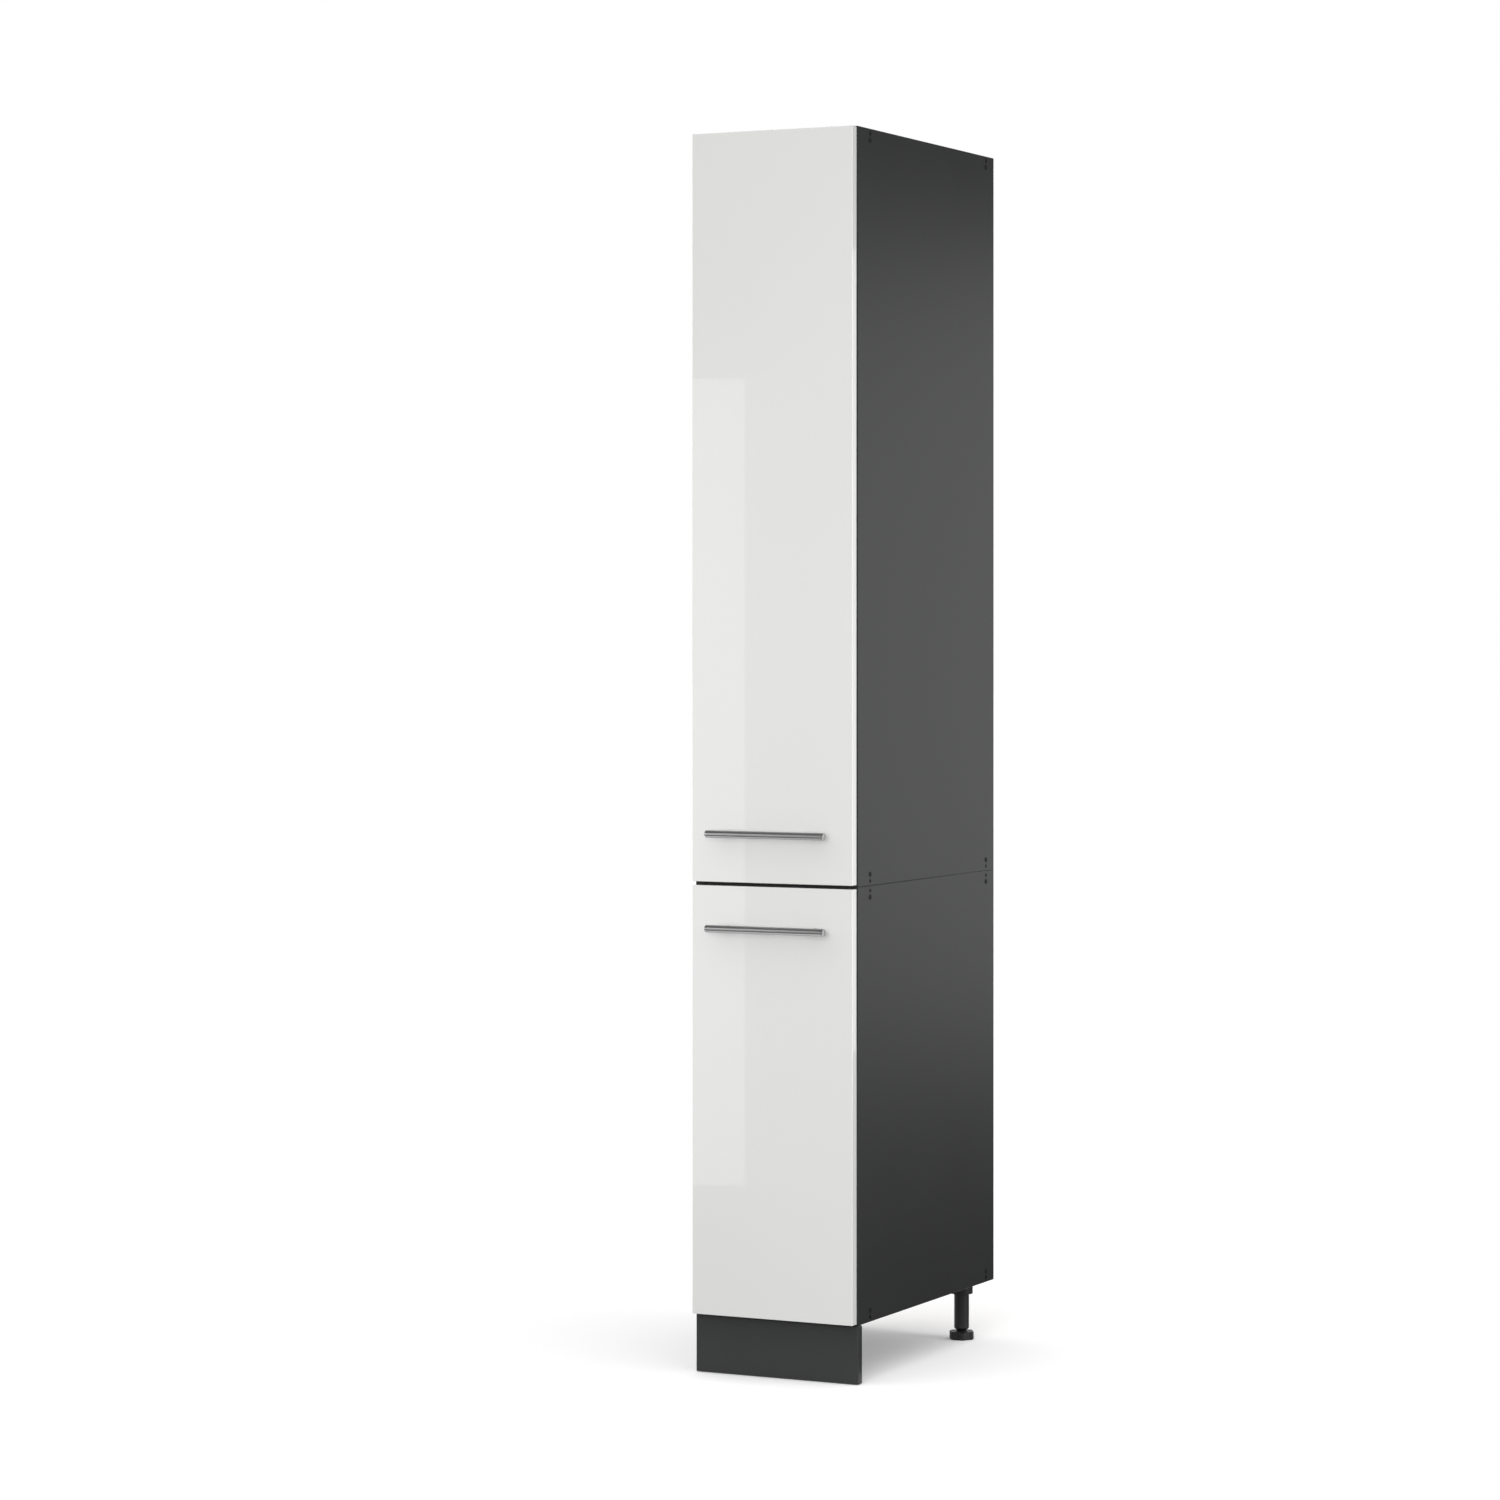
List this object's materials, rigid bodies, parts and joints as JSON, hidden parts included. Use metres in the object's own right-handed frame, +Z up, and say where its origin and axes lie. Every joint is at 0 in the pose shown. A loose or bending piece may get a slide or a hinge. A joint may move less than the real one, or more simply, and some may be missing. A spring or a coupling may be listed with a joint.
{
  "type": "pull-out larder unit",
  "caption": "Tall narrow kitchen larder cabinet on a plinth: stacked carcasses with gloss doors, bar handles and frames of wire baskets that slide out on runners.",
  "frame": {"origin": "on the floor, under the middle of the unit's box (handles included)", "axes": "+X to the right seen from the front, +Y to the wall, +Z up"},
  "size_m": [0.3012, 0.604, 2.068],
  "materials": {
    "carcass_board": "anthracite melamine, satin",
    "back_board": "anthracite hardboard, satin",
    "door_gloss": "high-gloss white lacquer",
    "handle_steel": "brushed",
    "runner_zinc": "bright zinc",
    "ball_steel": "polished",
    "frame_silver": "silver powder coat",
    "wire_chrome": "bright chrome",
    "foot_black": "moulded, satin",
    "cap_black": "moulded, satin",
    "shoe_nylon": "natural nylon",
    "bumper_clear": "clear soft",
    "dowel_beech": "turned beech",
    "screw_zinc": "bright zinc",
    "screw_black": "black oxide"
  },
  "bodies": {
    "carcass": {"lower_side_left": "carcass_board", "lower_side_right": "carcass_board", "lower_bottom": "carcass_board", "lower_top": "carcass_board", "lower_back": "back_board", "upper_side_left": "carcass_board", "upper_side_right": "carcass_board", "upper_bottom": "carcass_board", "upper_top": "carcass_board", "upper_back": "back_board", "dowels": "dowel_beech", "carcass_screws": "screw_black", "hole_caps": "cap_black", "stack_bolts": "screw_zinc", "plinth": "carcass_board", "plinth_clips": "foot_black", "foot_sockets": "foot_black", "foot_shanks": "foot_black", "wall_brackets": "screw_zinc", "wood_screws": "screw_zinc", "door_bumpers": "bumper_clear", "lower_outer_runners": "runner_zinc", "upper_outer_runners": "runner_zinc", "guide_rails": "runner_zinc"},
    "levelling_foot_front_left": {"foot_front_left": "foot_black"},
    "levelling_foot_front_right": {"foot_front_right": "foot_black"},
    "levelling_foot_rear_left": {"foot_rear_left": "foot_black"},
    "levelling_foot_rear_right": {"foot_rear_right": "foot_black"},
    "lower_pull_out": {"lower_door": "door_gloss", "lower_handle": "handle_steel", "lower_door_brackets": "screw_zinc", "lower_fixings": "screw_zinc", "lower_front_upright": "frame_silver", "lower_rear_upright": "frame_silver", "lower_top_beam": "frame_silver", "lower_carrier": "frame_silver", "lower_guide_shoe": "shoe_nylon", "lower_inner_runners": "runner_zinc", "lower_basket_1": "wire_chrome", "lower_basket_2": "wire_chrome"},
    "lower_middle": {"lower_middle_runners": "runner_zinc"},
    "lower_outer_ball_cages": {"lower_outer_cages": "ball_steel"},
    "lower_inner_ball_cages": {"lower_inner_cages": "ball_steel"},
    "upper_pull_out": {"upper_door": "door_gloss", "upper_handle": "handle_steel", "upper_door_brackets": "screw_zinc", "upper_fixings": "screw_zinc", "upper_front_upright": "frame_silver", "upper_rear_upright": "frame_silver", "upper_top_beam": "frame_silver", "upper_carrier": "frame_silver", "upper_guide_shoe": "shoe_nylon", "upper_inner_runners": "runner_zinc", "upper_basket_1": "wire_chrome", "upper_basket_2": "wire_chrome", "upper_basket_3": "wire_chrome", "upper_basket_4": "wire_chrome"},
    "upper_middle": {"upper_middle_runners": "runner_zinc"},
    "upper_outer_ball_cages": {"upper_outer_cages": "ball_steel"},
    "upper_inner_ball_cages": {"upper_inner_cages": "ball_steel"}
  },
  "joints": [
    {"name": "lower_slide", "type": "slide", "parent": "carcass", "child": "lower_pull_out", "axis": [0, -1, 0], "range_m": [0, 0.48]},
    {"name": "lower_middle_slide", "type": "slide", "parent": "carcass", "child": "lower_middle", "axis": [0, -1, 0], "range_m": [0, 0.24]},
    {"name": "lower_outer_cage_slide", "type": "slide", "parent": "carcass", "child": "lower_outer_ball_cages", "axis": [0, -1, 0], "range_m": [0, 0.12]},
    {"name": "lower_inner_cage_slide", "type": "slide", "parent": "carcass", "child": "lower_inner_ball_cages", "axis": [0, -1, 0], "range_m": [0, 0.36]},
    {"name": "upper_slide", "type": "slide", "parent": "carcass", "child": "upper_pull_out", "axis": [0, -1, 0], "range_m": [0, 0.48]},
    {"name": "upper_middle_slide", "type": "slide", "parent": "carcass", "child": "upper_middle", "axis": [0, -1, 0], "range_m": [0, 0.24]},
    {"name": "upper_outer_cage_slide", "type": "slide", "parent": "carcass", "child": "upper_outer_ball_cages", "axis": [0, -1, 0], "range_m": [0, 0.12]},
    {"name": "upper_inner_cage_slide", "type": "slide", "parent": "carcass", "child": "upper_inner_ball_cages", "axis": [0, -1, 0], "range_m": [0, 0.36]},
    {"name": "level_front_left", "type": "slide", "parent": "carcass", "child": "levelling_foot_front_left", "axis": [0, 0, -1], "range_m": [0, 0.025]},
    {"name": "level_front_right", "type": "slide", "parent": "carcass", "child": "levelling_foot_front_right", "axis": [0, 0, -1], "range_m": [0, 0.025]},
    {"name": "level_rear_left", "type": "slide", "parent": "carcass", "child": "levelling_foot_rear_left", "axis": [0, 0, -1], "range_m": [0, 0.025]},
    {"name": "level_rear_right", "type": "slide", "parent": "carcass", "child": "levelling_foot_rear_right", "axis": [0, 0, -1], "range_m": [0, 0.025]}
  ],
  "couplings": [
    {"joint": "lower_middle_slide", "follows": "lower_slide", "ratio": 0.5},
    {"joint": "lower_outer_cage_slide", "follows": "lower_slide", "ratio": 0.25},
    {"joint": "lower_inner_cage_slide", "follows": "lower_slide", "ratio": 0.75},
    {"joint": "upper_middle_slide", "follows": "upper_slide", "ratio": 0.5},
    {"joint": "upper_outer_cage_slide", "follows": "upper_slide", "ratio": 0.25},
    {"joint": "upper_inner_cage_slide", "follows": "upper_slide", "ratio": 0.75}
  ]
}
